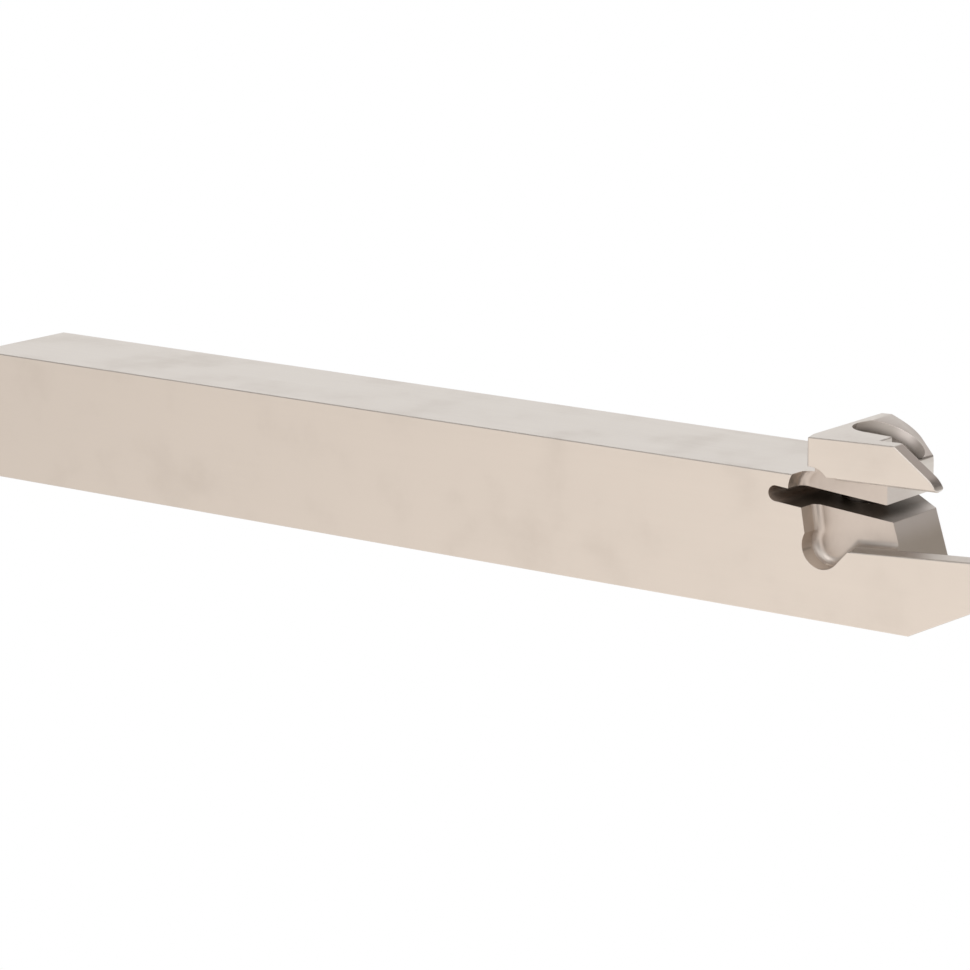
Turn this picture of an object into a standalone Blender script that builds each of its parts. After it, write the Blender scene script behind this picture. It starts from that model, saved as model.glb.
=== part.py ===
# Parting blade holder: a square shank whose head is cut down to a thin blade.
# The blade is split into a lower and an upper jaw that grip a parting insert.
# The upper jaw is one piece with the shank: a slot leaves a thin web that bends
# when the clamp screw pulls the jaw down.
#
# The model is drawn in shop coordinates: X runs along the shank to the cutting
# end, with 0 at the heel (the front end of the sole), Y runs across from the
# blade's face, and Z runs up from the sole. One empty then carries every piece to the
# part's own frame, whose origin is the middle of the footprint, on the sole.

import math

import bmesh
import bpy
from mathutils import Matrix, Vector

MM = 0.001

# Shank
SHANK_HEIGHT = 12.7 * MM
SHANK_WIDTH = 12.7 * MM
SHANK_LENGTH = 109.87 * MM          # rear end to heel

# Lower jaw. Heights in the head are counted from the shank's top face.
BLADE_THICKNESS = 1.65 * MM
NOSE_REACH = 9.45 * MM              # heel to the tip of the lower jaw
UNDERSIDE_ANGLE = math.radians(25.5)
NOSE_RELIEF = math.radians(7.0)
SEAT_HEIGHT = SHANK_HEIGHT - 5.72 * MM      # insert seat, above the heel
SEAT_SLOPE = math.radians(3.57)
SEAT_REAR = -6.18 * MM
SEAT_RAMP = math.radians(47.0)      # behind the seat, down into the relief
RAIL_HEIGHT = 0.34 * MM             # V rails that locate the insert
RAIL_ROOT = 1.00 * MM               # how far the rails run into the jaws
SEAT_RAIL_START = -5.90 * MM
JAW_RAIL_START = -7.40 * MM

# Upper jaw
JAW_TIP = (2.44 * MM, SHANK_HEIGHT + 0.41 * MM)
JAW_UNDERSIDE_SLOPE = math.radians(1.33)
JAW_NOSE_AT = (0.0, SHANK_HEIGHT + 2.55 * MM)   # a point on the sloping nose
JAW_NOSE_ANGLE = math.radians(35.4)
JAW_NOSE_BEND = 1.59 * MM           # where the nose starts to round down to the tip
JAW_NOSE_RADIUS = 2.60 * MM
JAW_TIP_ANGLE = math.radians(60.0)
JAW_TIP_BREAK = 0.16 * MM
JAW_BACK_BREAK = 0.22 * MM          # along the nose's far edge
JAW_TOP_REAR = (-10.80 * MM, SHANK_HEIGHT + 3.50 * MM)
JAW_TOP_SLOPE = math.radians(1.7)
JAW_REAR_LEAN = math.radians(6.0)
JAW_CORNER_BREAK = (0.41 * MM, 1.50 * MM)

# Slot under the upper jaw
SLOT_HEIGHT = 1.38 * MM
SLOT_SLOPE = math.radians(4.7)
SLOT_FRONT = (-2.97 * MM, SHANK_HEIGHT - 3.48 * MM)
SLOT_END = -14.38 * MM
SLOT_OPENING = 1.50 * MM            # how far its cutter runs out in front

# Front of the body behind the blade, kept clear of the workpiece
BODY_FRONT_LEAN = math.radians(17.5)
JAW_FRONT = -3.62 * MM
JAW_FRONT_KNEE = SHANK_HEIGHT + 0.50 * MM
JAW_FRONT_LEAN = math.radians(8.9)
SIDE_CHAMFER_START = -7.17 * MM     # where the chamfer's line meets the far side
SIDE_CHAMFER_ANGLE = math.radians(38.4)
SIDE_CHAMFER_RADIUS = 4.50 * MM     # rounds that corner
SIDE_CHAMFER_PROUD = 0.012 * MM     # lets the rounding meet the side at a small angle

# Insert pocket in the blade face
POCKET_DEPTH = 2.20 * MM            # deeper than the blade is thick, to clear the insert's side
POCKET_FILLET = 0.80 * MM
FILLET_RUN_OUT = 0.08 * MM
POCKET_REAR_TOP = (-11.03 * MM, SHANK_HEIGHT - 2.50 * MM)
POCKET_REAR_FOOT = (-10.63 * MM, SHANK_HEIGHT - 4.78 * MM)
LOWER_RELIEF_CENTRE = (-8.85 * MM, SHANK_HEIGHT - 6.05 * MM)
LOWER_RELIEF_RADIUS = 2.00 * MM
UPPER_RELIEF_CENTRE = (-10.15 * MM, SHANK_HEIGHT - 1.28 * MM)
UPPER_RELIEF_RADIUS = 2.20 * MM

# Sloping face and spot-faced recess for the screw head
SLOPE_RIDGE = -9.63 * MM
SLOPE_ANGLE = math.radians(23.0)
SPOT_RADIUS = 3.50 * MM
SPOT_CENTRE = -6.20 * MM
SPOT_FLARE = math.radians(15.0)     # its wall runs out towards the blade

# Clamp screw
SCREW_AT = (-6.38 * MM, 7.62 * MM, SHANK_HEIGHT + 3.60 * MM)
SCREW_TILT = SLOPE_ANGLE            # square to the sloping face
SCREW_SEAT_DEPTH = 3.80 * MM        # from the point above, down the screw's axis
HEAD_RADIUS = 3.10 * MM
HEAD_HEIGHT = 1.30 * MM
HEAD_EDGE_RADIUS = 0.25 * MM
HEAD_CLEARANCE = 0.28 * MM
HEAD_SEAT_GAP = 0.30 * MM
THREAD_RADIUS = 2.00 * MM
THREAD_LENGTH = 8.80 * MM           # under the head
THREAD_POINT = 0.50 * MM
THREAD_CLEARANCE = 0.08 * MM
JAW_HOLE_CLEARANCE = 0.30 * MM
JAW_HOLE_DEPTH = 2.90 * MM          # through the upper jaw, from the seat into the slot
HOLE_RUN_OUT = 1.00 * MM
DRILL_POINT_ANGLE = math.radians(59.0)
STAR_RADIUS = 1.40 * MM
STAR_LOBE = 0.24 * MM
STAR_LOBES = 6
STAR_DEPTH = 1.10 * MM

# Finishes
STEEL_COLOUR = (0.62, 0.59, 0.56, 1.0)
STEEL_ROUGHNESS = 0.34
SCREW_COLOUR = (0.16, 0.15, 0.15, 1.0)
SCREW_ROUGHNESS = 0.42

OUT = 5.0 * MM                      # how far a cutter runs past what it cuts
ROUND_SIDES = 72
HOLE_SIDES = 48


def clear_scene():
    for obj in list(bpy.data.objects):
        bpy.data.objects.remove(obj, do_unlink=True)


def make_collection(name):
    collection = bpy.data.collections.new(name)
    bpy.context.scene.collection.children.link(collection)
    return collection


def make_material(name, colour, roughness, metallic=1.0):
    material = bpy.data.materials.new(name)
    material.use_nodes = True
    shader = material.node_tree.nodes["Principled BSDF"]
    shader.inputs["Base Color"].default_value = colour
    shader.inputs["Roughness"].default_value = roughness
    shader.inputs["Metallic"].default_value = metallic
    return material


def arc(centre, radius, start, end, steps):
    """Points on an arc from one angle to another, both ends included."""
    points = []
    for step in range(steps + 1):
        angle = start + (end - start) * step / steps
        points.append((centre[0] + radius * math.cos(angle), centre[1] + radius * math.sin(angle)))
    return points


def angle_of(centre, point):
    return math.atan2(point[1] - centre[1], point[0] - centre[0])


def line_circle(start, direction, centre, radius):
    """First point where a ray meets a circle."""
    to_start = Vector(start) - Vector(centre)
    heading = Vector(direction).normalized()
    along = -to_start.dot(heading)
    reach = math.sqrt(max(radius ** 2 - (to_start.length_squared - along ** 2), 0.0))
    return tuple(Vector(start) + heading * (along - reach))


def plate(name, outline, thickness, collection):
    """A flat outline with a thickness, from a filled 2D curve: local Z from 0 to the thickness."""
    curve = bpy.data.curves.new(name + "_outline", "CURVE")
    curve.dimensions = "2D"
    curve.fill_mode = "BOTH"
    curve.extrude = thickness / 2
    spline = curve.splines.new("POLY")
    spline.points.add(len(outline) - 1)
    for point, (u, v) in zip(spline.points, outline):
        point.co = (u, v, 0.0, 1.0)
    spline.use_cyclic_u = True
    source = bpy.data.objects.new(name + "_curve", curve)
    collection.objects.link(source)
    bpy.context.view_layer.update()
    evaluated = source.evaluated_get(bpy.context.evaluated_depsgraph_get())
    mesh = bpy.data.meshes.new_from_object(evaluated)
    mesh.name = name
    bm = bmesh.new()
    bm.from_mesh(mesh)
    bmesh.ops.remove_doubles(bm, verts=bm.verts, dist=1e-7)
    bmesh.ops.dissolve_limit(bm, angle_limit=math.radians(0.5), verts=bm.verts, edges=bm.edges,
                             use_dissolve_boundaries=False)
    bmesh.ops.recalc_face_normals(bm, faces=bm.faces)
    bm.transform(Matrix.Translation((0.0, 0.0, thickness / 2)))
    bm.to_mesh(mesh)
    bm.free()
    bpy.data.objects.remove(source, do_unlink=True)
    bpy.data.curves.remove(curve)
    obj = bpy.data.objects.new(name, mesh)
    collection.objects.link(obj)
    return obj


def side_plate(name, outline, near, far, collection):
    """An outline in the side view (X, Z), filled from one depth in Y to another."""
    obj = plate(name, outline, far - near, collection)
    turn = Matrix.Translation((0.0, far, 0.0)) @ Matrix.Rotation(math.radians(90.0), 4, "X")
    obj.data.transform(turn)
    return obj


def plan_plate(name, outline, low, high, collection):
    """An outline in the top view (X, Y), filled from one height to another."""
    obj = plate(name, outline, high - low, collection)
    obj.data.transform(Matrix.Translation((0.0, 0.0, low)))
    return obj


def cylinder(name, radius, low, high, frame, collection, sides=ROUND_SIDES):
    """A cylinder along the local Z of a frame."""
    mesh = bpy.data.meshes.new(name)
    bm = bmesh.new()
    bmesh.ops.create_cone(bm, cap_ends=True, segments=sides, radius1=radius, radius2=radius,
                          depth=high - low, matrix=Matrix.Translation((0.0, 0.0, (low + high) / 2)))
    bm.transform(frame)
    bm.to_mesh(mesh)
    bm.free()
    obj = bpy.data.objects.new(name, mesh)
    collection.objects.link(obj)
    return obj


def turned(name, profile, frame, collection, sides=ROUND_SIDES):
    """A turned solid: a half profile (radius, height) from top to bottom, screwed about local Z."""
    mesh = bpy.data.meshes.new(name)
    points = [(radius, 0.0, height) for radius, height in profile]
    mesh.from_pydata(points, [(i, i + 1) for i in range(len(points) - 1)], [])
    obj = bpy.data.objects.new(name, mesh)
    obj.matrix_local = frame
    collection.objects.link(obj)
    screw = obj.modifiers.new("turn", "SCREW")
    screw.axis = "Z"
    screw.steps = sides
    screw.render_steps = sides
    screw.use_merge_vertices = True
    screw.merge_threshold = 1e-6
    return obj


def boolean(target, cutter, operation="DIFFERENCE"):
    modifier = target.modifiers.new(operation.lower() + "_" + cutter.name, "BOOLEAN")
    modifier.operation = operation
    modifier.solver = "EXACT"
    modifier.object = cutter


def hide_cutter(cutter):
    cutter.hide_render = True
    cutter.display_type = "WIRE"


def seat_height(x):
    return SEAT_HEIGHT + x * math.tan(SEAT_SLOPE)


def jaw_underside(x):
    return JAW_TIP[1] + (x - JAW_TIP[0]) * math.tan(JAW_UNDERSIDE_SLOPE)


def jaw_top(x):
    return JAW_TOP_REAR[1] + (x - JAW_TOP_REAR[0]) * math.tan(JAW_TOP_SLOPE)


def slot_floor(x):
    return SLOT_FRONT[1] + (SLOT_FRONT[0] - x) * math.tan(SLOT_SLOPE)


def lower_front(z):
    """Leaning front face of the body behind the lower jaw."""
    return min(SLOT_FRONT[0] + (SLOT_FRONT[1] - z) * math.tan(BODY_FRONT_LEAN), 0.0)


def holder_outline():
    """Side view of the whole bar, jaws closed up: the slot and the pocket are cut later."""
    nose_top = seat_height(NOSE_REACH)
    nose_foot_x = (NOSE_REACH - nose_top * math.tan(NOSE_RELIEF)) \
        / (1.0 - math.tan(UNDERSIDE_ANGLE) * math.tan(NOSE_RELIEF))
    nose_foot = (nose_foot_x, nose_foot_x * math.tan(UNDERSIDE_ANGLE))
    above = (nose_top + JAW_TIP[1]) / 2
    nose_above = (NOSE_REACH + (above - nose_top) * math.tan(NOSE_RELIEF), above)
    top_front_x = JAW_NOSE_AT[0] - (jaw_top(JAW_NOSE_AT[0]) - JAW_NOSE_AT[1]) \
        / (math.tan(JAW_NOSE_ANGLE) + math.tan(JAW_TOP_SLOPE))
    top_front = (top_front_x, jaw_top(top_front_x))
    tip_break = (JAW_TIP[0], JAW_TIP[1] - JAW_TIP_BREAK * math.tan(JAW_TIP_ANGLE) / 2)
    tip_back = (JAW_TIP[0] - 3 * JAW_TIP_BREAK, JAW_TIP[1] - 4 * JAW_TIP_BREAK)
    rear_foot_x = JAW_TOP_REAR[0] - (JAW_TOP_REAR[1] - SHANK_HEIGHT) * math.tan(JAW_REAR_LEAN)
    return [
        (-SHANK_LENGTH, 0.0),
        (0.0, 0.0),
        nose_foot,
        nose_above,
        tip_back,
        tip_break,
    ] + nose_curve() + [
        top_front,
        JAW_TOP_REAR,
        (rear_foot_x, SHANK_HEIGHT),
        (-SHANK_LENGTH, SHANK_HEIGHT),
    ]


def nose_height(x):
    return JAW_NOSE_AT[1] - (x - JAW_NOSE_AT[0]) * math.tan(JAW_NOSE_ANGLE)


def nose_curve():
    """The upper jaw's nose in the side view, rounding from its slope down to the tip."""
    centre = (JAW_NOSE_BEND - JAW_NOSE_RADIUS * math.sin(JAW_NOSE_ANGLE),
              nose_height(JAW_NOSE_BEND) - JAW_NOSE_RADIUS * math.cos(JAW_NOSE_ANGLE))
    return arc(centre, JAW_NOSE_RADIUS, math.pi / 2 - JAW_TIP_ANGLE, math.pi / 2 - JAW_NOSE_ANGLE, 8)


def slot_outline():
    """The slot: straight and parallel, round at its closed end, open at the front."""
    radius = SLOT_HEIGHT / 2
    end_x = SLOT_END + radius
    centre = (end_x, slot_floor(end_x) + radius)
    down = -math.pi / 2 - SLOT_SLOPE
    front_x = SLOT_FRONT[0] + SLOT_OPENING
    front_low = (front_x, slot_floor(front_x))
    front_high = (front_x, slot_floor(front_x) + SLOT_HEIGHT)
    end = arc(centre, radius, down, down - math.pi, 20)
    return [front_low] + end + [front_high]


def clearing_outline():
    """What is milled away behind the blade, ahead of the body and of the upper jaw."""
    knee = (JAW_FRONT, JAW_FRONT_KNEE)
    top = SHANK_HEIGHT + 2 * OUT
    heel_flat = SLOT_FRONT[1] + SLOT_FRONT[0] / math.tan(BODY_FRONT_LEAN)
    far_front = NOSE_REACH + OUT
    return [
        (far_front, -OUT),
        (0.0, -OUT),
        (0.0, heel_flat),
        SLOT_FRONT,
        (JAW_FRONT, SLOT_FRONT[1] + SLOT_HEIGHT / 2),
        knee,
        (JAW_FRONT - (top - JAW_FRONT_KNEE) * math.tan(JAW_FRONT_LEAN), top),
        (far_front, top),
    ]


def pocket_outline():
    """Insert pocket in the blade face: the seat, a round relief, the rear wall, the upper
    relief that runs out through the shank's top, and the upper jaw's underside."""
    front = NOSE_REACH + OUT
    ramp_start = (SEAT_REAR, seat_height(SEAT_REAR))
    ramp_way = (-math.cos(SEAT_RAMP), -math.sin(SEAT_RAMP))
    lower_in = line_circle(ramp_start, ramp_way, LOWER_RELIEF_CENTRE, LOWER_RELIEF_RADIUS)
    rear_way = (POCKET_REAR_FOOT[0] - POCKET_REAR_TOP[0], POCKET_REAR_FOOT[1] - POCKET_REAR_TOP[1])
    lower_out = line_circle(POCKET_REAR_TOP, rear_way, LOWER_RELIEF_CENTRE, LOWER_RELIEF_RADIUS)
    lower = arc(LOWER_RELIEF_CENTRE, LOWER_RELIEF_RADIUS,
                angle_of(LOWER_RELIEF_CENTRE, lower_in),
                angle_of(LOWER_RELIEF_CENTRE, lower_out) - 2 * math.pi, 28)
    in_slot = slot_floor(UPPER_RELIEF_CENTRE[0]) + SLOT_HEIGHT * 0.3
    under_way = (-math.cos(JAW_UNDERSIDE_SLOPE), -math.sin(JAW_UNDERSIDE_SLOPE))
    upper_out = line_circle((front, jaw_underside(front)), under_way, UPPER_RELIEF_CENTRE,
                            UPPER_RELIEF_RADIUS)
    upper = arc(UPPER_RELIEF_CENTRE, UPPER_RELIEF_RADIUS, math.pi,
                angle_of(UPPER_RELIEF_CENTRE, upper_out), 28)
    seat_end = lower_front(seat_height(SLOT_FRONT[0]))
    floor = [(front, seat_height(front)), (seat_end + FILLET_RUN_OUT, seat_height(seat_end + FILLET_RUN_OUT)),
             (seat_end, seat_height(seat_end)), ramp_start]
    rear = lower + [(POCKET_REAR_TOP[0], in_slot), (upper[0][0], in_slot)] + upper
    jaw = [(JAW_FRONT, jaw_underside(JAW_FRONT)),
           (JAW_FRONT + FILLET_RUN_OUT, jaw_underside(JAW_FRONT + FILLET_RUN_OUT)),
           (front, jaw_underside(front))]
    radii = [0.0, 0.0] + [POCKET_FILLET] * (len(rear) + 3) + [0.0, 0.0]
    return floor + rear + jaw, radii


def inset(outline, amounts):
    """Moves each corner of an outline inwards by its own amount, along its mitre."""
    count = len(outline)
    turn = sum(outline[i][0] * outline[(i + 1) % count][1] - outline[(i + 1) % count][0] * outline[i][1]
               for i in range(count))
    side = 1.0 if turn > 0.0 else -1.0
    moved = []
    for i in range(count):
        here = Vector(outline[i])
        into = (here - Vector(outline[i - 1])).normalized()
        away = (Vector(outline[(i + 1) % count]) - here).normalized()
        normal_in = Vector((-into.y, into.x)) * side
        normal_out = Vector((-away.y, away.x)) * side
        mitre = (normal_in + normal_out) / (1.0 + normal_in.dot(normal_out))
        moved.append(tuple(here + mitre * amounts[i]))
    return moved


def filleted_plate(name, outline, near, far, radii, collection):
    """A side outline cut from one depth in Y to another, with a fillet round its far end.
    The radii give the fillet at each corner of the outline."""
    steps = 7
    rings = [(near, [0.0] * len(outline))]
    for step in range(steps + 1):
        angle = math.pi / 2 * step / steps
        rings.append((None, [radius * (1.0 - math.cos(angle)) for radius in radii]))
    bm = bmesh.new()
    built = []
    for index, (depth, amounts) in enumerate(rings):
        angle = math.pi / 2 * (index - 1) / steps
        ring = []
        for (x, z), radius in zip(inset(outline, amounts), radii):
            y = depth if depth is not None else far - radius * (1.0 - math.sin(angle))
            ring.append(bm.verts.new((x, y, z)))
        built.append(ring)
    for low, high in zip(built, built[1:]):
        for i in range(len(outline)):
            j = (i + 1) % len(outline)
            corners = []
            for vert in (low[i], low[j], high[j], high[i]):
                if all((vert.co - other.co).length > 1e-8 for other in corners):
                    corners.append(vert)
            if len(corners) > 2:
                bm.faces.new(corners)
    bm.faces.new(built[0])
    bm.faces.new(built[-1])
    bmesh.ops.remove_doubles(bm, verts=bm.verts, dist=1e-8)
    bmesh.ops.triangulate(bm, faces=bm.faces)
    bmesh.ops.recalc_face_normals(bm, faces=bm.faces)
    mesh = bpy.data.meshes.new(name)
    bm.to_mesh(mesh)
    bm.free()
    obj = bpy.data.objects.new(name, mesh)
    collection.objects.link(obj)
    return obj


def rail(name, height_at, sign, start, end, collection):
    """A V rail along the middle of the blade, as wide as the blade, on a sloping line."""
    half = BLADE_THICKNESS / 2
    spread = 1.5
    outline = [
        (half, sign * RAIL_HEIGHT),
        (half + half * spread, sign * RAIL_HEIGHT * (1.0 - spread)),
        (half + half * spread, -sign * RAIL_ROOT),
        (half - half * spread, -sign * RAIL_ROOT),
        (half - half * spread, sign * RAIL_HEIGHT * (1.0 - spread)),
    ]
    obj = plate(name, outline, 1.0, collection)
    along = Vector((end - start, 0.0, height_at(end) - height_at(start)))
    frame = Matrix((
        (0.0, 0.0, along.x, start),
        (1.0, 0.0, along.y, 0.0),
        (0.0, 1.0, along.z, height_at(start)),
        (0.0, 0.0, 0.0, 1.0),
    ))
    obj.data.transform(frame)
    return obj


def make_pocket_cutter(cutters):
    outline, radii = pocket_outline()
    pocket = filleted_plate("pocket_cutter", outline, -OUT, POCKET_DEPTH, radii, cutters)
    ahead = NOSE_REACH + 2 * OUT
    seat_rail = rail("seat_rail", seat_height, 1.0, SEAT_RAIL_START, ahead, cutters)
    jaw_rail = rail("jaw_rail", jaw_underside, -1.0, JAW_RAIL_START, ahead, cutters)
    boolean(pocket, seat_rail)
    boolean(pocket, jaw_rail)
    return pocket, [seat_rail, jaw_rail]


def side_chamfer(name, lean, low, high, cutters):
    """Cuts the far front corner of the body, with a rounded start; a lean carries it forward
    on the way down."""
    reach = 3 * OUT
    start = (SIDE_CHAMFER_START, SHANK_WIDTH)
    heading = (math.cos(SIDE_CHAMFER_ANGLE), -math.sin(SIDE_CHAMFER_ANGLE))
    tangent = SIDE_CHAMFER_RADIUS * math.tan(SIDE_CHAMFER_ANGLE / 2)
    centre = (SIDE_CHAMFER_START - tangent, SHANK_WIDTH - SIDE_CHAMFER_RADIUS + SIDE_CHAMFER_PROUD)
    bend = arc(centre, SIDE_CHAMFER_RADIUS, math.pi / 2, math.pi / 2 - SIDE_CHAMFER_ANGLE, 14)
    outline = bend + [
        (start[0] + heading[0] * reach, start[1] + heading[1] * reach),
        (start[0] + heading[0] * reach, SHANK_WIDTH + 2 * OUT),
        (bend[0][0], SHANK_WIDTH + 2 * OUT),
    ]
    cutter = plan_plate(name, outline, low, high, cutters)
    for vert in cutter.data.vertices:
        vert.co.x += (SLOT_FRONT[1] - vert.co.z) * math.tan(lean)
    return cutter


def back_break_cutter(cutters):
    """A three-sided prism that follows the upper jaw's nose and breaks its far edge."""
    curve = nose_curve()
    up = (-math.cos(JAW_NOSE_ANGLE), math.sin(JAW_NOSE_ANGLE))
    down = (math.cos(JAW_TIP_ANGLE), -math.sin(JAW_TIP_ANGLE))
    ends = [(curve[-1][0] + up[0] * 2 * OUT, curve[-1][1] + up[1] * 2 * OUT),
            (curve[0][0] + down[0] * OUT, curve[0][1] + down[1] * OUT)]
    path = [Vector(point) for point in [ends[0]] + curve[::-1] + [ends[1]]]
    spare = 4 * JAW_BACK_BREAK
    section = [(BLADE_THICKNESS - JAW_BACK_BREAK - spare, spare),
               (BLADE_THICKNESS + spare, -JAW_BACK_BREAK - spare),
               (BLADE_THICKNESS + spare, spare)]
    bm = bmesh.new()
    rings = []
    for i, here in enumerate(path):
        into = (here - path[max(i - 1, 0)]) if i else (path[1] - here)
        away = (path[i + 1] - here) if i + 1 < len(path) else into
        way = (into.normalized() + away.normalized()).normalized()
        outward = Vector((-way.y, way.x))
        rings.append([bm.verts.new((here.x + outward.x * off, y, here.y + outward.y * off))
                      for y, off in section])
    for low, high in zip(rings, rings[1:]):
        for i in range(3):
            j = (i + 1) % 3
            bm.faces.new((low[i], low[j], high[j], high[i]))
    bm.faces.new(rings[0])
    bm.faces.new(rings[-1])
    bmesh.ops.triangulate(bm, faces=bm.faces)
    bmesh.ops.recalc_face_normals(bm, faces=bm.faces)
    mesh = bpy.data.meshes.new("back_break_cutter")
    bm.to_mesh(mesh)
    bm.free()
    obj = bpy.data.objects.new("back_break_cutter", mesh)
    cutters.objects.link(obj)
    return obj


def slope_cutter(cutters):
    """The sloping face round the screw: a round-ended cut with a wall towards the blade."""
    ridge = Matrix.Translation((SLOPE_RIDGE, 0.0, jaw_top(SLOPE_RIDGE)))
    frame = ridge @ Matrix.Rotation(SLOPE_ANGLE, 4, "Y")
    middle_u = (SPOT_CENTRE - SLOPE_RIDGE) / math.cos(SLOPE_ANGLE)
    middle = (middle_u, SCREW_AT[1])
    wall = arc(middle, SPOT_RADIUS, -math.pi / 2 - SPOT_FLARE, -math.pi, 24)
    far = SHANK_WIDTH + OUT
    front = middle_u + 2 * OUT
    front_y = wall[0][1] - (front - wall[0][0]) * math.tan(SPOT_FLARE)
    outline = [(front, front_y)] + wall + [(-SPOT_RADIUS, wall[-1][1]), (-SPOT_RADIUS, far), (front, far)]
    cutter = plate("slope_cutter", outline, 2 * OUT, cutters)
    cutter.data.transform(frame)
    return cutter


def screw_frame():
    """Local Z along the screw towards its head, origin where the head's seat is."""
    frame = Matrix.Translation(SCREW_AT) @ Matrix.Rotation(SCREW_TILT, 4, "Y")
    return frame @ Matrix.Translation((0.0, 0.0, -SCREW_SEAT_DEPTH))


def make_holder(parts, cutters, steel):
    body = side_plate("holder_body", holder_outline(), 0.0, SHANK_WIDTH, parts)
    frame = screw_frame()
    through = HEAD_HEIGHT + 2 * OUT
    hole_depth = THREAD_LENGTH + HOLE_RUN_OUT
    tapped_radius = THREAD_RADIUS + THREAD_CLEARANCE
    cone_depth = tapped_radius / math.tan(DRILL_POINT_ANGLE)
    pocket, rails = make_pocket_cutter(cutters)
    drill_profile = [(0.0, 0.0), (tapped_radius, 0.0), (tapped_radius, -hole_depth),
                     (0.0, -hole_depth - cone_depth)]
    corner = [
        (JAW_TOP_REAR[0] + JAW_CORNER_BREAK[0] * 2, -JAW_CORNER_BREAK[1]),
        (JAW_TOP_REAR[0] - JAW_CORNER_BREAK[0], 2 * JAW_CORNER_BREAK[1]),
        (JAW_TOP_REAR[0] - OUT, 2 * JAW_CORNER_BREAK[1]),
        (JAW_TOP_REAR[0] - OUT, -JAW_CORNER_BREAK[1]),
    ]
    tools = [
        side_plate("slot_cutter", slot_outline(), -OUT, SHANK_WIDTH + OUT, cutters),
        side_plate("clearing_cutter", clearing_outline(), BLADE_THICKNESS, SHANK_WIDTH + OUT, cutters),
        back_break_cutter(cutters),
        pocket,
        side_chamfer("lower_chamfer_cutter", BODY_FRONT_LEAN, -OUT,
                     SLOT_FRONT[1] + SLOT_HEIGHT * 0.6, cutters),
        side_chamfer("upper_chamfer_cutter", 0.0, SLOT_FRONT[1] + SLOT_HEIGHT * 0.6,
                     SHANK_HEIGHT + 2 * OUT, cutters),
        plan_plate("corner_cutter", corner, SHANK_HEIGHT, SHANK_HEIGHT + OUT, cutters),
        slope_cutter(cutters),
        cylinder("counterbore_cutter", HEAD_RADIUS + HEAD_CLEARANCE, 0.0, through, frame, cutters),
        cylinder("jaw_hole_cutter", THREAD_RADIUS + JAW_HOLE_CLEARANCE, -JAW_HOLE_DEPTH, OUT / 2,
                 frame, cutters, HOLE_SIDES),
        turned("tapped_hole_cutter", drill_profile, frame, cutters, HOLE_SIDES),
    ]
    for tool in tools:
        boolean(body, tool)
    for cutter in tools + rails:
        hide_cutter(cutter)
    body.data.materials.append(steel)
    return body


def star_outline(points_per_lobe=6):
    """Six-lobed socket: a circle whose radius swings in and out."""
    outline = []
    count = STAR_LOBES * points_per_lobe
    for step in range(count):
        angle = 2 * math.pi * step / count
        radius = STAR_RADIUS + STAR_LOBE * math.cos(STAR_LOBES * angle)
        outline.append((radius * math.cos(angle), radius * math.sin(angle)))
    return outline


def make_screw(parts, cutters, black):
    """Clamp screw with a flat-seated round head, a star socket and a plain stud for its thread."""
    under = HEAD_SEAT_GAP
    top = under + HEAD_HEIGHT
    edge = arc((HEAD_RADIUS - HEAD_EDGE_RADIUS, top - HEAD_EDGE_RADIUS), HEAD_EDGE_RADIUS,
               math.pi / 2, 0.0, 4)
    profile = [(0.0, top)] + edge + [
        (HEAD_RADIUS, under),
        (THREAD_RADIUS, under),
        (THREAD_RADIUS, under - THREAD_LENGTH + THREAD_POINT),
        (THREAD_RADIUS - THREAD_POINT, under - THREAD_LENGTH),
        (0.0, under - THREAD_LENGTH),
    ]
    frame = screw_frame()
    screw = turned("clamp_screw", profile, frame, parts)
    star = plate("star_cutter", star_outline(), STAR_DEPTH + OUT, cutters)
    star.data.transform(Matrix.Translation((0.0, 0.0, top - STAR_DEPTH)))
    star.matrix_local = frame
    boolean(screw, star)
    hide_cutter(star)
    screw.data.materials.append(black)
    return screw


def shade_by_angle(obj, degrees):
    obj.data.shade_smooth()
    obj.data.set_sharp_from_angle(angle=math.radians(degrees))


def main():
    clear_scene()
    parts = make_collection("parting_blade_holder")
    cutters = make_collection("cutters")
    steel = make_material("satin_steel", STEEL_COLOUR, STEEL_ROUGHNESS)
    black = make_material("dark_screw_steel", SCREW_COLOUR, SCREW_ROUGHNESS)
    body = make_holder(parts, cutters, steel)
    screw = make_screw(parts, cutters, black)
    shade_by_angle(screw, 35.0)

    frame = bpy.data.objects.new("part_frame", None)
    parts.objects.link(frame)
    rail_reach = NOSE_REACH + RAIL_HEIGHT * math.tan(NOSE_RELIEF)
    frame.location = ((SHANK_LENGTH - rail_reach) / 2, -SHANK_WIDTH / 2, 0.0)
    for obj in [body, screw] + list(cutters.objects):
        obj.parent = frame


main()
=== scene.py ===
# Parting blade holder: surfaces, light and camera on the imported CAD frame.
# The frame's X runs along the shank to the cutting end, and the blade's face looks to -Y.

import math

import bmesh
import bpy
from mathutils import Matrix, Vector


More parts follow.
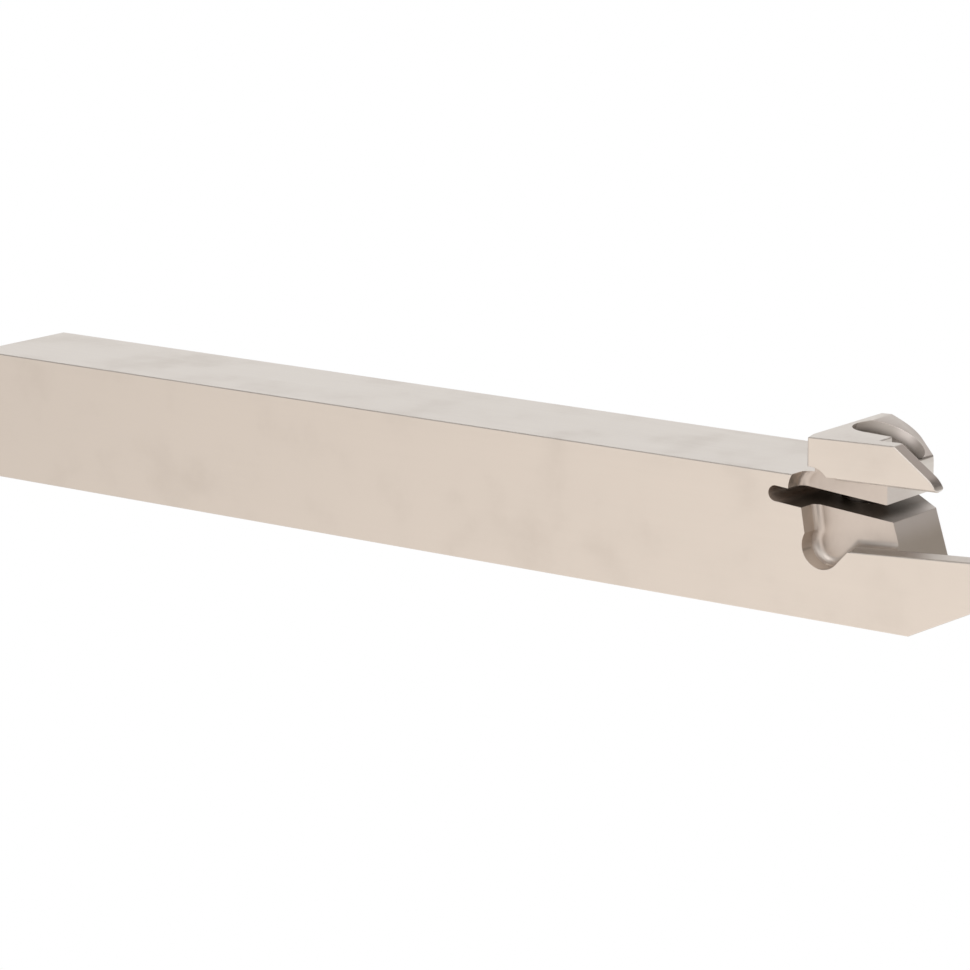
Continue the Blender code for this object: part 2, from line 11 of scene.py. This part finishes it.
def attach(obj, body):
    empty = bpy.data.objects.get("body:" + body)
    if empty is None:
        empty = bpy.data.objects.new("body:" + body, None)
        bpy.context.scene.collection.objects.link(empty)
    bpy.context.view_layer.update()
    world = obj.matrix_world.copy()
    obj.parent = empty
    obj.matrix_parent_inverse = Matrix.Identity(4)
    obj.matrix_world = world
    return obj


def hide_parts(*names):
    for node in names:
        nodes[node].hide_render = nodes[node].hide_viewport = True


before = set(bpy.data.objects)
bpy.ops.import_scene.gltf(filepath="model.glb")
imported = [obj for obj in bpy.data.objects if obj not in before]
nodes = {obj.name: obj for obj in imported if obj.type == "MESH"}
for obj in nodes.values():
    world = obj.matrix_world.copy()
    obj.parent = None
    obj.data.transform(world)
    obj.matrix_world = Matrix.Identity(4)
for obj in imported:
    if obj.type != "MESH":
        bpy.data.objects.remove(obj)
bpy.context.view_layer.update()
print("stage: frame loaded")

mm = 0.001
white = (1.0, 1.0, 1.0)

# Shop coordinates: X from the heel, Y from the blade's face, Z from the sole.
shopOrigin = Vector((50.189, -6.35, 0.0)) * mm
shankSide = 12.7


# Camera

photo = {
    "place": (224.063 * mm, -294.335 * mm, 88.21 * mm),
    "yaw": math.radians(-37.289),
    "pitch": math.radians(12.598),
    "roll": math.radians(-0.1925),
    "lens": 149.733,
    "sensor": 36.0,
    "clip": (0.01, 20.0),
}


def placeCamera():
    camera = bpy.data.cameras.new("photoCamera")
    camera.lens = photo["lens"]
    camera.sensor_width = photo["sensor"]
    camera.sensor_fit = "HORIZONTAL"
    camera.clip_start, camera.clip_end = photo["clip"]
    obj = bpy.data.objects.new("photoCamera", camera)
    bpy.context.scene.collection.objects.link(obj)
    yaw, pitch, roll = photo["yaw"], photo["pitch"], photo["roll"]
    ahead = Vector((math.sin(yaw) * math.cos(pitch), math.cos(yaw) * math.cos(pitch), -math.sin(pitch)))
    right = Vector((math.cos(yaw), -math.sin(yaw), 0.0))
    up = right.cross(ahead)
    across = math.cos(roll) * right + math.sin(roll) * up
    upright = -math.sin(roll) * right + math.cos(roll) * up
    turn = Matrix((across, upright, -ahead)).transposed().to_4x4()
    obj.matrix_world = Matrix.Translation(photo["place"]) @ turn
    bpy.context.scene.camera = obj


# Meshes

mend = {
    "weld": 2e-7,                   # metres between points that are one
    "flat": math.radians(0.6),      # neighbours within this angle are one face
    "edgeSteps": 2,
}


def shopPlace(point):
    return (point - shopOrigin) / mm


def faceCentre(face):
    return face.calc_center_median() if isinstance(face, bmesh.types.BMFace) else face.center


def cleanCopy(name, newName, tidy=None):
    # The CAD node's mesh with its flat faces whole again, ready for edge breaks.
    source = nodes[name]
    mesh = source.data.copy()
    mesh.name = newName
    bm = bmesh.new()
    bm.from_mesh(mesh)
    bmesh.ops.remove_doubles(bm, verts=bm.verts, dist=mend["weld"])
    if tidy:
        tidy(bm)
    bmesh.ops.dissolve_limit(bm, angle_limit=mend["flat"], verts=bm.verts, edges=bm.edges,
                             use_dissolve_boundaries=False)
    bm.to_mesh(mesh)
    bm.free()
    mesh.materials.clear()
    obj = bpy.data.objects.new(newName, mesh)
    obj.matrix_world = source.matrix_world.copy()
    bpy.context.scene.collection.objects.link(obj)
    return obj


def breakEdges(obj, widest, angle, widthOf=None):
    # Each outer edge sharper than angle gets the widest break, or the one that widthOf gives it.
    bm = bmesh.new()
    bm.from_mesh(obj.data)
    weights = bm.edges.layers.float.new("bevel_weight_edge")
    for edge in bm.edges:
        edge.smooth = edge.is_manifold and edge.calc_face_angle() < angle
        if edge.is_manifold and edge.is_convex and not edge.smooth:
            edge[weights] = widthOf(edge) / widest if widthOf else 1.0
    for face in bm.faces:
        face.smooth = True
    bm.to_mesh(obj.data)
    bm.free()
    bevel = obj.modifiers.new("edgeBreak", "BEVEL")
    bevel.width = widest
    bevel.segments = mend["edgeSteps"]
    bevel.limit_method = "WEIGHT"
    bevel.miter_outer = "MITER_ARC"
    bevel.use_clamp_overlap = False
    bevel.harden_normals = True


# Metal

# Noise on the metal by place, and how far it moves the colour and the roughness.
toolMarks = {
    "lines": {"Scale": 1.0, "Detail": 3.0, "Roughness": 0.6},
    "clouds": {"Scale": 140.0, "Detail": 4.0, "Roughness": 0.55},
    "lineSpan": (0.25, 0.75),
    "cloudSpan": (0.35, 0.75),
    "stainSpan": (0.5, 0.85),
    "stainShare": (0.0, 0.5),
    "lineRoughness": 0.035,
    "cloudRoughness": (-0.02, 0.04),
}

# What each finish has unless it says otherwise. Stretch is lines per metre along X, Y and Z.
plainSteel = {
    "base": (0.80, 0.762, 0.722),
    "stain": (0.70, 0.655, 0.61),
    "roughness": 0.36,
    "stretch": (5200.0, 1300.0, 5200.0),
    "height": 0.0022 * mm,
    "metallic": 1.0,
}

axes = {"X": (1.0, 0.0, 0.0), "Y": (0.0, 1.0, 0.0), "Z": (0.0, 0.0, 1.0)}


def node(tree, kind, **values):
    made = tree.nodes.new(kind)
    for name, value in values.items():
        setattr(made, name, value)
    return made


def setInputs(made, **values):
    for name, value in values.items():
        made.inputs[name].default_value = value
    return made


def mapRange(tree, source, span, to=(0.0, 1.0), smooth=True):
    made = node(tree, "ShaderNodeMapRange", interpolation_type="SMOOTHSTEP" if smooth else "LINEAR")
    made.inputs["From Min"].default_value, made.inputs["From Max"].default_value = span
    made.inputs["To Min"].default_value, made.inputs["To Max"].default_value = to
    tree.links.new(source, made.inputs["Value"])
    return made.outputs["Result"]


def mixColour(tree, factor, low, high, blend="MIX"):
    # Each of the three is a socket to link, or a plain number or colour.
    made = node(tree, "ShaderNodeMix", data_type="RGBA", blend_type=blend)
    for socket, value in (("Factor", factor), ("A", low), ("B", high)):
        target = [entry for entry in made.inputs if entry.name == socket and entry.enabled][0]
        if hasattr(value, "is_output"):
            tree.links.new(value, target)
        elif isinstance(value, tuple):
            target.default_value = value + (1.0,)
        else:
            target.default_value = value
    return [entry for entry in made.outputs if entry.enabled][0]


def newGroup(name, inputs, outputs):
    group = bpy.data.node_groups.new(name, "ShaderNodeTree")
    for way, sockets in (("INPUT", inputs), ("OUTPUT", outputs)):
        for socket, kind in sockets.items():
            group.interface.new_socket(socket, in_out=way, socket_type="NodeSocket" + kind)
    return group, group.nodes.new("NodeGroupInput").outputs, group.nodes.new("NodeGroupOutput").inputs


def makeMarksGroup():
    # Lines along one way, and slow clouds: two masks round 0.5, by place on the metal.
    group, entry, leave = newGroup("toolMarks", {"Place": "Vector", "Stretch": "Vector"},
                                   {"Lines": "Float", "Clouds": "Float"})
    stretched = node(group, "ShaderNodeVectorMath", operation="MULTIPLY")
    group.links.new(entry["Place"], stretched.inputs[0])
    group.links.new(entry["Stretch"], stretched.inputs[1])
    lines = setInputs(node(group, "ShaderNodeTexNoise"), **toolMarks["lines"])
    clouds = setInputs(node(group, "ShaderNodeTexNoise"), **toolMarks["clouds"])
    group.links.new(stretched.outputs[0], lines.inputs["Vector"])
    group.links.new(entry["Place"], clouds.inputs["Vector"])
    group.links.new(lines.outputs["Fac"], leave["Lines"])
    group.links.new(clouds.outputs["Fac"], leave["Clouds"])
    return group


def makeFadeGroup():
    # A mask that goes from 0 at Start to 1 at End along Axis.
    group, entry, leave = newGroup("placeFade", {"Place": "Vector", "Axis": "Vector", "Start": "Float",
                                                 "End": "Float"}, {"Mask": "Float"})
    along = node(group, "ShaderNodeVectorMath", operation="DOT_PRODUCT")
    group.links.new(entry["Place"], along.inputs[0])
    group.links.new(entry["Axis"], along.inputs[1])
    step = node(group, "ShaderNodeMapRange", interpolation_type="SMOOTHSTEP")
    group.links.new(along.outputs["Value"], step.inputs["Value"])
    group.links.new(entry["Start"], step.inputs["From Min"])
    group.links.new(entry["End"], step.inputs["From Max"])
    group.links.new(step.outputs["Result"], leave["Mask"])
    return group


marksGroup = makeMarksGroup()
fadeGroup = makeFadeGroup()


def fade(tree, place, axis, span):
    made = setInputs(node(tree, "ShaderNodeGroup", node_tree=fadeGroup),
                     Axis=axes[axis], Start=span[0], End=span[1])
    tree.links.new(place, made.inputs["Place"])
    return made.outputs["Mask"]


def metal(name, look):
    look = {**plainSteel, **look}
    material = bpy.data.materials.new(name)
    material.use_nodes = True
    tree = material.node_tree
    shader = tree.nodes["Principled BSDF"]
    place = node(tree, "ShaderNodeTexCoord").outputs["Object"]
    marks = setInputs(node(tree, "ShaderNodeGroup", node_tree=marksGroup), Stretch=look["stretch"])
    tree.links.new(place, marks.inputs["Place"])
    clouds, lines = marks.outputs["Clouds"], marks.outputs["Lines"]

    colour = look["base"]
    if look["stain"] != colour:
        share = mapRange(tree, clouds, toolMarks["stainSpan"], toolMarks["stainShare"])
        colour = mixColour(tree, share, colour, look["stain"])
    for axis, span, other in look.get("fades", ()):
        colour = mixColour(tree, fade(tree, place, axis, span), colour, other)
    if "paint" in look:
        colour = look["paint"](tree, place, colour)
    if isinstance(colour, tuple):
        shader.inputs["Base Color"].default_value = colour + (1.0,)
    else:
        tree.links.new(colour, shader.inputs["Base Color"])
    shader.inputs["Metallic"].default_value = look["metallic"]

    line = mapRange(tree, lines, toolMarks["lineSpan"], smooth=False)
    cloud = mapRange(tree, clouds, toolMarks["cloudSpan"])
    reach = toolMarks["lineRoughness"]
    byLine = mapRange(tree, line, (0.0, 1.0), (look["roughness"] - reach, look["roughness"] + reach))
    spread = node(tree, "ShaderNodeMath", operation="ADD")
    tree.links.new(byLine, spread.inputs[0])
    tree.links.new(mapRange(tree, cloud, (0.0, 1.0), toolMarks["cloudRoughness"]), spread.inputs[1])
    tree.links.new(spread.outputs[0], shader.inputs["Roughness"])

    bump = setInputs(node(tree, "ShaderNodeBump"), Strength=1.0, Distance=look["height"])
    tree.links.new(line, bump.inputs["Height"])
    tree.links.new(bump.outputs["Normal"], shader.inputs["Normal"])
    return material


# Clamp screw

screw = {
    "seat": (-7.8648 * mm, 7.62 * mm, 12.8021 * mm),    # middle of the recess's floor, shop coordinates
    "tilt": math.radians(23.0),
    "edge": 0.05 * mm,
    "sharp": math.radians(30.0),
    "finish": {
        "base": (0.30, 0.275, 0.255),
        "stain": (0.30, 0.275, 0.255),
        "roughness": 0.38,
        "stretch": (6000.0, 6000.0, 6000.0),
    },
}

screwSeat = Vector(screw["seat"]) + shopOrigin

# From the frame's coordinates to the screw's own, along its axis from its seat.
screwSpace = (Matrix.Translation(screwSeat) @ Matrix.Rotation(screw["tilt"], 4, "Y")).inverted()


# Holder: where its surfaces lie, as in the CAD

# The slot under the upper jaw, in shop coordinates.
slot = {
    "frontX": -2.97 * mm,
    "frontZ": (shankSide - 3.48) * mm,
    "endX": -14.38 * mm,
    "slope": math.radians(4.7),
    "height": 1.38 * mm,
    "nearby": 0.03 * mm,
    "across": 0.05,
}

recess = {"radius": 3.38 * mm, "nearWall": 0.03 * mm, "nearSeat": 0.01 * mm}


def about(middle, reach):
    return (middle - reach, middle + reach)


def over(low):
    return (low, math.inf)


def under(high):
    return (-math.inf, high)


anywhere = (-math.inf, math.inf)
touch = 0.01

# Boxes in shop millimetres, as spans along X, Y and Z.
boxes = {
    "pocket": ((-13.0, -2.0), (1.3, 2.3), (4.5, 14.0)),
    "underTop": ((-12.5, -11.0), anywhere, (12.66, shankSide)),
    "notchMeet": ((-11.2, -10.4), under(2.3), (13.1, 13.7)),
}

# Patches of the surface: the same spans for a face's middle, and then for its normal.
patches = {
    "nearSide": ((anywhere, about(0.0, touch), anywhere), (anywhere, under(-0.999), anywhere)),
    "farSide": ((anywhere, about(shankSide, touch), anywhere), (anywhere, over(0.999), anywhere)),
    "sole": ((anywhere, anywhere, about(0.0, touch)), (anywhere, anywhere, under(-0.9999))),
    "top": ((anywhere, anywhere, about(shankSide, touch)), (anywhere, anywhere, over(0.9999))),
    "rearEnd": ((under(-100.0), anywhere, anywhere), (under(-0.99), anywhere, anywhere)),
    "pocketWalls": (((-12.6, -6.4), (0.0, 1.5), (4.5, 13.8)), (anywhere, about(0.0, 0.2), anywhere)),
    "pocketBottom": (((-12.6, -2.8), (1.3, 2.3), (4.5, 13.8)), (anywhere, under(-0.15), anywhere)),
    "seatFillet": ((anywhere, (1.3, 1.9), under(8.0)), (anywhere, (-0.4, -0.3), over(0.9))),
    "webFront": ((about(-3.62, 0.02), anywhere, anywhere), (over(0.999), anywhere, anywhere)),
    "railNear": ((anywhere, anywhere, over(12.0)), (anywhere, over(0.3), under(-0.9))),
    "railFar": ((anywhere, anywhere, over(12.0)), (anywhere, under(-0.3), under(-0.9))),
    "lowerFront": ((anywhere, anywhere, under(9.5)), (about(0.954, 0.01), about(0.0, 0.01), over(0.25))),
    "frontOverJaw": ((anywhere, anywhere, anywhere), (over(0.95), anywhere, (0.1, 0.2))),
    "headSlope": ((anywhere, anywhere, anywhere), (anywhere, anywhere, (0.9, 0.95))),
}


def inside(values, spans):
    return all(low < value < high for value, (low, high) in zip(values, spans))


def inPatch(face, name):
    place, normal = patches[name]
    return inside(shopPlace(faceCentre(face)), place) and inside(face.normal, normal)


def onPatches(*names):
    # A test for the faces in any of these patches.
    return lambda face: any(inPatch(face, name) for name in names)


def inSlot(face):
    # The floor, the roof and the round end of the slot.
    centre = faceCentre(face) - shopOrigin
    height = centre.z - slot["frontZ"] - (slot["frontX"] - centre.x) * math.tan(slot["slope"])
    within = slot["endX"] - slot["nearby"] < centre.x < slot["frontX"] + slot["nearby"]
    between = -slot["nearby"] < height < slot["height"] / math.cos(slot["slope"]) + slot["nearby"]
    return within and between and abs(face.normal.y) < slot["across"]


def inBore(face):
    # The wall of the recess round the screw's head.
    local = screwSpace @ faceCentre(face)
    onWall = abs(math.hypot(local.x, local.y) - recess["radius"]) < recess["nearWall"]
    return onWall and local.z > -recess["nearSeat"]


def paintBore(tree, place, colour):
    # Painted light in the recess: a painted highlight on one side, painted shade on another side and
    # painted shade at the foot, by turn about the screw's axis and height over its seat.
    local = node(tree, "ShaderNodeMapping", vector_type="TEXTURE")
    setInputs(local, Location=screwSeat, Rotation=(0.0, screw["tilt"], 0.0))
    tree.links.new(place, local.inputs["Vector"])
    split = node(tree, "ShaderNodeSeparateXYZ")
    tree.links.new(local.outputs[0], split.inputs[0])
    turn = node(tree, "ShaderNodeMath", operation="ARCTAN2")
    tree.links.new(split.outputs["Y"], turn.inputs[0])
    tree.links.new(split.outputs["X"], turn.inputs[1])
    for side in ("borePaintedHighlight", "boreShade"):
        share = mapRange(tree, turn.outputs[0], body[side + "Turn"])
        colour = mixColour(tree, share, colour, body[side])
    high = fade(tree, local.outputs[0], "Z", body["boreFootShadeSpan"])
    return mixColour(tree, high, body["boreFootShade"], colour)


# Holder: what it looks like

# Pocket tones, darker than the plain steel: partly a duller milled finish, partly painted shade in the
# pocket.
pocketBase = (0.57, 0.495, 0.43)
pocketWall = (0.685, 0.637, 0.602)

body = {
    "edge": 0.11 * mm,
    "fineEdge": 0.04 * mm,      # on the rims of the pocket, the slot and the recess
    "wideEdge": 0.15 * mm,      # between the head's slope and the front behind the jaw
    "sharp": math.radians(28.0),
    "sliver": 0.032 * mm,       # longest edge that closes deep in the pocket
    # Painted light on the recess's wall: colours and turn spans for a painted highlight and painted
    # shade, and painted shade at its foot with its height span.
    "borePaintedHighlight": (0.98, 0.91, 0.875),
    "borePaintedHighlightTurn": (math.radians(118.0), math.radians(96.0)),
    "boreShade": (0.52, 0.47, 0.435),
    "boreShadeTurn": (math.radians(90.0), math.radians(60.0)),
    "boreFootShade": (0.30, 0.265, 0.235),
    "boreFootShadeSpan": (1.1 * mm, 2.3 * mm),
    # Each finish goes over those before it, and some carry painted shade and painted light in their
    # colours. A fade mixes in a colour along an axis of the frame.
    "finishesAndPaintedLight": {
        "milledSteel": {"test": onPatches()},
        "groundSteel": {
            "test": onPatches("nearSide", "farSide", "sole", "top", "rearEnd"),
            "roughness": 0.34,
            "stretch": (60.0, 9000.0, 9000.0),
            "height": 0.0016 * mm,
        },
        # The slot: the roughness and lines are the wire-cut finish, and the near-black base is painted
        # shade inside the slot.
        "wireCutSlotPaintedShade": {
            "test": inSlot,
            "base": (0.20, 0.165, 0.135),
            "stain": (0.20, 0.165, 0.135),
            "roughness": 0.42,
            "stretch": (9000.0, 9000.0, 9000.0),
            "metallic": 0.75,
            "fades": (
                # painted shade, darker towards the slot's rear part
                ("X", (40.8 * mm, 38.4 * mm), (0.10, 0.078, 0.06)),
                # painted light at the slot's round end
                ("X", (37.8 * mm, 36.2 * mm), (0.46, 0.372, 0.31)),
                # painted light towards the slot's mouth
                ("X", (45.0 * mm, 46.9 * mm), (0.60, 0.56, 0.53)),
            ),
        },
        # The pocket's rear and relief walls: a duller milled finish, with a brown base that is partly
        # painted shade of the pocket.
        "pocketSteelPaintedShade": {
            "test": onPatches("pocketWalls"),
            "base": pocketBase,
            "stain": (0.50, 0.43, 0.37),
            "roughness": 0.44,
            "stretch": (1300.0, 5200.0, 1300.0),
            "metallic": 0.85,
        },
        # The pocket's recessed face: a base that is partly duller milled steel and partly painted shade,
        # with more painted shade towards the pocket's rear end.
        "pocketFloorPaintedShade": {
            "test": onPatches("pocketBottom"),
            "base": pocketWall,
            "stain": pocketBase,
            "roughness": 0.38,
            "stretch": (5200.0, 1300.0, 1300.0),
            "fades": (("X", (43.4 * mm, 39.9 * mm), (0.645, 0.595, 0.56)),),
        },
        # A painted highlight: a light line along the fillet at the foot of the seat.
        "cornerPaintedHighlight": {
            "test": onPatches("seatFillet"),
            "base": (0.97, 0.91, 0.85),
            "stain": plainSteel["base"],
            "roughness": 0.34,
            "stretch": (5200.0, 1300.0, 1300.0),
        },
        # The web's front behind the jaw: painted shade, darker under the upper jaw and lighter away from
        # it.
        "webPaintedShade": {
            "test": onPatches("webFront"),
            "base": pocketWall,
            "stain": pocketBase,
            "fades": (("Y", (-1.4 * mm, 2.2 * mm), (0.83, 0.795, 0.755)),),
        },
        "railSteel": {
            "test": onPatches("railNear", "railFar"),
            "roughness": 0.42,
            "stretch": (1300.0, 5200.0, 1300.0),
            "metallic": 0.45,
        },
        # The lower front: painted shade, darker towards the bottom and lighter towards the top.
        "frontPaintedShade": {
            "test": onPatches("lowerFront"),
            "base": (0.54, 0.485, 0.43),
            "fades": (("Z", (6.8 * mm, 9.2 * mm), (0.72, 0.67, 0.64)),),
        },
        # The recess's wall: a light base under the soft lamp, with painted highlight and painted shade
        # from paintBore.
        "boreSteelPaintedLight": {
            "test": inBore,
            "base": (0.74, 0.69, 0.645),
            "stain": pocketBase,
            "roughness": 0.40,
            "stretch": (1300.0, 1300.0, 6200.0),
            "metallic": 0.30,
            "paint": paintBore,
        },
    },
}


def mergeSlivers(bm):
    # Points a hair under the shank's top go up into it, and the slivers deep in the pocket close.
    loose = []
    for vert in bm.verts:
        place = shopPlace(vert.co)
        if inside(place, boxes["underTop"]):
            vert.co.z = shankSide * mm
            loose.append(vert)
        elif inside(place, boxes["pocket"]):
            loose.append(vert)
    bmesh.ops.remove_doubles(bm, verts=loose, dist=body["sliver"])


def holderEdge(edge):
    # No break deep in the pocket or where it meets the notch, because the edges there are too short.
    place = shopPlace((edge.verts[0].co + edge.verts[1].co) / 2.0)
    if inside(place, boxes["pocket"]) or inside(place, boxes["notchMeet"]):
        return 0.0
    if any(inBore(face) or inSlot(face) or inPatch(face, "pocketWalls") for face in edge.link_faces):
        return body["fineEdge"]
    overFront = all(any(inPatch(face, name) for face in edge.link_faces)
                    for name in ("headSlope", "frontOverJaw"))
    return body["wideEdge"] if overFront else body["edge"]


# Floor and light

ground = {"half": 3.0, "drop": 0.02 * mm}

# Colours that the metal sees in each direction, as in a white tent with a dark lens opening.
# A span gives where along its axis one colour goes over into the next.
studio = {
    "backLow": ((-0.50, (0.90, 0.88, 0.858)), (0.10, (0.48, 0.45, 0.42)), (0.60, (0.33, 0.30, 0.272))),
    "backHigh": ((-0.45, (0.78, 0.755, 0.735)), (-0.20, (0.57, 0.533, 0.517)),
                 (0.02, (0.475, 0.415, 0.39)), (0.50, (0.36, 0.32, 0.30))),
    "backSpan": (0.26, 0.52),
    "frontLeftHigh": (0.36, 0.345, 0.33),
    "frontRightHigh": (1.00, 0.97, 0.93),
    "acrossSpan": (-0.55, 0.25),
    "frontSpan": (0.15, -0.30),
    "floorFront": (1.065, 0.967, 0.881),
    "floorBack": (0.82, 0.80, 0.775),
    "leftDim": 0.57,
    "leftSpan": (-0.85, -0.48),
    "floorSpan": (-0.05, 0.11),
}

# Cards and lamps round the tent: direction, inner and outer angle in degrees, gain by colour.
cards = {
    "lens": ((0.585, -0.79, 0.06), 10.0, 27.0, (0.42, 0.42, 0.42)),
    "noseFlag": ((0.40, 0.776, 0.49), 7.0, 20.0, (0.16, 0.15, 0.15)),
    "edgeFlag": ((-0.59, -0.218, 0.776), 10.0, 30.0, (0.35, 0.32, 0.29)),
    "sideLamp": ((-0.25, -0.776, 0.575), 10.0, 22.0, (2.8, 2.8, 2.8)),
    "warmFloor": ((0.93, 0.05, -0.25), 14.0, 32.0, (1.02, 0.95, 0.90)),
    "rightFloor": ((0.776, -0.59, -0.218), 12.0, 35.0, (0.84, 0.84, 0.84)),
}

# A large lamp that only lights the dull share of the metal, so it leaves no hot spots.
softLamp = {"way": (0.35, -0.55, 0.75), "distance": 0.5, "size": 0.40, "power": 2.1}


def makeFloor():
    # A white floor that the metal doesn't reflect and that takes no shadow.
    half = ground["half"]
    corners = [(-half, -half, 0), (half, -half, 0), (half, half, 0), (-half, half, 0)]
    mesh = bpy.data.meshes.new("floor")
    mesh.from_pydata(corners, [], [(0, 1, 2, 3)])
    floor = bpy.data.objects.new("floor", mesh)
    floor.location.z = -ground["drop"]
    bpy.context.scene.collection.objects.link(floor)
    material = bpy.data.materials.new("paleFloor")
    material.use_nodes = True
    tree = material.node_tree
    tree.nodes.clear()
    out = tree.nodes.new("ShaderNodeOutputMaterial")
    glow = setInputs(node(tree, "ShaderNodeEmission"), Color=white + (1.0,), Strength=1.0)
    tree.links.new(glow.outputs[0], out.inputs["Surface"])
    mesh.materials.append(material)
    floor.visible_glossy = False
    floor.visible_diffuse = False
    floor.visible_shadow = False


def ramp(tree, source, stops):
    # A colour that follows source from -1 to 1 through the stops.
    made = node(tree, "ShaderNodeValToRGB")
    elements = made.color_ramp.elements
    while len(elements) < len(stops):
        elements.new(0.5)
    for element, (place, colour) in zip(elements, stops):
        element.position = (place + 1.0) / 2.0
        element.color = colour + (1.0,)
    tree.links.new(mapRange(tree, source, (-1.0, 1.0), smooth=False), made.inputs["Fac"])
    return made.outputs["Color"]


def addCard(tree, way, sky, card):
    # Dims or brightens the sky inside a cone.
    direction, core, rim, gain = card
    toCard = node(tree, "ShaderNodeVectorMath", operation="DOT_PRODUCT")
    tree.links.new(way, toCard.inputs[0])
    toCard.inputs[1].default_value = Vector(direction).normalized()
    span = (math.cos(math.radians(rim)), math.cos(math.radians(core)))
    return mixColour(tree, mapRange(tree, toCard.outputs["Value"], span), sky, gain, "MULTIPLY")


def makeWorld():
    world = bpy.data.worlds.new("studio")
    bpy.context.scene.world = world
    world.use_nodes = True
    tree = world.node_tree
    tree.nodes.clear()
    out = tree.nodes.new("ShaderNodeOutputWorld")
    way = tree.nodes.new("ShaderNodeTexCoord").outputs["Generated"]
    split = tree.nodes.new("ShaderNodeSeparateXYZ")
    tree.links.new(way, split.inputs[0])
    x, y, z = split.outputs
    front = mapRange(tree, y, studio["frontSpan"])
    back = mixColour(tree, mapRange(tree, z, studio["backSpan"]), ramp(tree, x, studio["backLow"]),
                     ramp(tree, x, studio["backHigh"]))
    frontHigh = mixColour(tree, mapRange(tree, x, studio["acrossSpan"]), studio["frontLeftHigh"],
                          studio["frontRightHigh"])
    high = mixColour(tree, front, back, frontHigh)
    low = mixColour(tree, front, studio["floorBack"], studio["floorFront"])
    dim = mapRange(tree, x, studio["leftSpan"], (studio["leftDim"], 1.0), smooth=False)
    low = mixColour(tree, 1.0, low, dim, "MULTIPLY")
    sky = mixColour(tree, mapRange(tree, z, studio["floorSpan"]), low, high)
    for card in cards.values():
        sky = addCard(tree, way, sky, card)
    seen = mixColour(tree, node(tree, "ShaderNodeLightPath").outputs["Is Camera Ray"], sky, white)
    light = tree.nodes.new("ShaderNodeBackground")
    tree.links.new(seen, light.inputs["Color"])
    tree.links.new(light.outputs[0], out.inputs["Surface"])


def makeLamp():
    light = bpy.data.lights.new("softLamp", "AREA")
    light.shape = "SQUARE"
    light.size = softLamp["size"]
    light.energy = softLamp["power"]
    lamp = bpy.data.objects.new("softLamp", light)
    way = Vector(softLamp["way"]).normalized()
    lamp.location = screwSeat + way * softLamp["distance"]
    lamp.rotation_euler = way.to_track_quat("Z", "Y").to_euler()
    lamp.visible_glossy = False
    lamp.visible_camera = False
    bpy.context.scene.collection.objects.link(lamp)


placeCamera()
print("stage: camera placed")

holder = cleanCopy("holder_body", "holderVisual", mergeSlivers)
for index, (name, look) in enumerate(body["finishesAndPaintedLight"].items()):
    holder.data.materials.append(metal(name, look))
    for face in holder.data.polygons:
        if look["test"](face):
            face.material_index = index
breakEdges(holder, body["wideEdge"], body["sharp"], holderEdge)
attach(holder, "holder")
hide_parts("holder_body")
print("stage: holder dressed")

clampScrew = cleanCopy("clamp_screw", "clampScrewVisual")
clampScrew.data.materials.append(metal("blackOxide", screw["finish"]))
breakEdges(clampScrew, screw["edge"], screw["sharp"])
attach(clampScrew, "screw")
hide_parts("clamp_screw")
print("stage: screw dressed")

makeFloor()
makeLamp()
makeWorld()
bpy.context.scene.view_settings.view_transform = "Standard"
print("stage: floor and light set")
